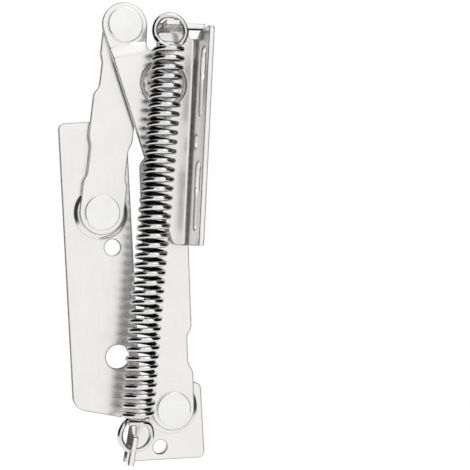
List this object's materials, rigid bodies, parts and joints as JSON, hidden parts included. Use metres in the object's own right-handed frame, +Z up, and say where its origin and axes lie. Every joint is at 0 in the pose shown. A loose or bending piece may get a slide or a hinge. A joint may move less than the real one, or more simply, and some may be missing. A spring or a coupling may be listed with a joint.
{
  "type": "sofa bed hinge",
  "caption": "Spring-loaded sofa bed hinge: a base plate and an angle bracket joined by swinging links, with a tension spring from the base's hook to the bracket's finger.",
  "frame": {"origin": "centre of the base plate's middle screw hole, on the plate's back face", "axes": "+Z up along the base plate, the front with the rivet heads toward -Y, the bracket's flange toward +X with its outer face across X"},
  "size_m": [0.0815, 0.0345, 0.2252],
  "materials": {
    "zinc_plate": "satin",
    "rivet_steel": "satin",
    "spring_wire": "bright"
  },
  "bodies": {
    "base": {"base_plate": "zinc_plate", "short_link_rivet": "rivet_steel", "long_link_rivet": "rivet_steel"},
    "short_link": {"short_link": "zinc_plate"},
    "bracket": {"angle_bracket": "zinc_plate", "bracket_rivet": "rivet_steel", "web_rivet_head": "rivet_steel"},
    "long_link": {"long_link": "zinc_plate", "web_rivet_tail": "rivet_steel"},
    "spring": {"tension_spring": "spring_wire"},
    "spring_top": {"spring_upper_eye": "spring_wire"}
  },
  "joints": [
    {"name": "short_link_swing", "type": "hinge", "parent": "base", "child": "short_link", "pos_m": [-0.0068, -0.00535, 0.0167], "axis": [0, 1, 0], "range_deg": [0, 66.47]},
    {"name": "bracket_turn", "type": "hinge", "parent": "short_link", "child": "bracket", "pos_m": [-0.0007, -0.008, 0.1087], "axis": [0, -1, 0], "range_deg": [0, 146.48]},
    {"name": "long_link_swing", "type": "hinge", "parent": "base", "child": "long_link", "pos_m": [0.0338, -0.00535, -0.0787], "axis": [0, 1, 0], "range_deg": [0, 33.26]},
    {"name": "spring_swing", "type": "hinge", "parent": "base", "child": "spring", "pos_m": [0.013, -0.01775, -0.08935], "axis": [0, 1, 0], "range_deg": [0, 22.16]},
    {"name": "spring_stretch", "type": "slide", "parent": "spring", "child": "spring_top", "axis": [0.0323, -0.0141, 0.9994], "range_m": [-0.02566, 0], "deforming": ["tension_spring", "spring_upper_eye"]}
  ],
  "couplings": [
    {"joint": "bracket_turn", "follows": "short_link_swing", "ratio": 2.2035},
    {"joint": "long_link_swing", "follows": "short_link_swing", "ratio": 0.50027},
    {"joint": "spring_swing", "follows": "short_link_swing", "ratio": 0.3333},
    {"joint": "spring_stretch", "follows": "short_link_swing", "m_per_rad": -0.022118}
  ]
}
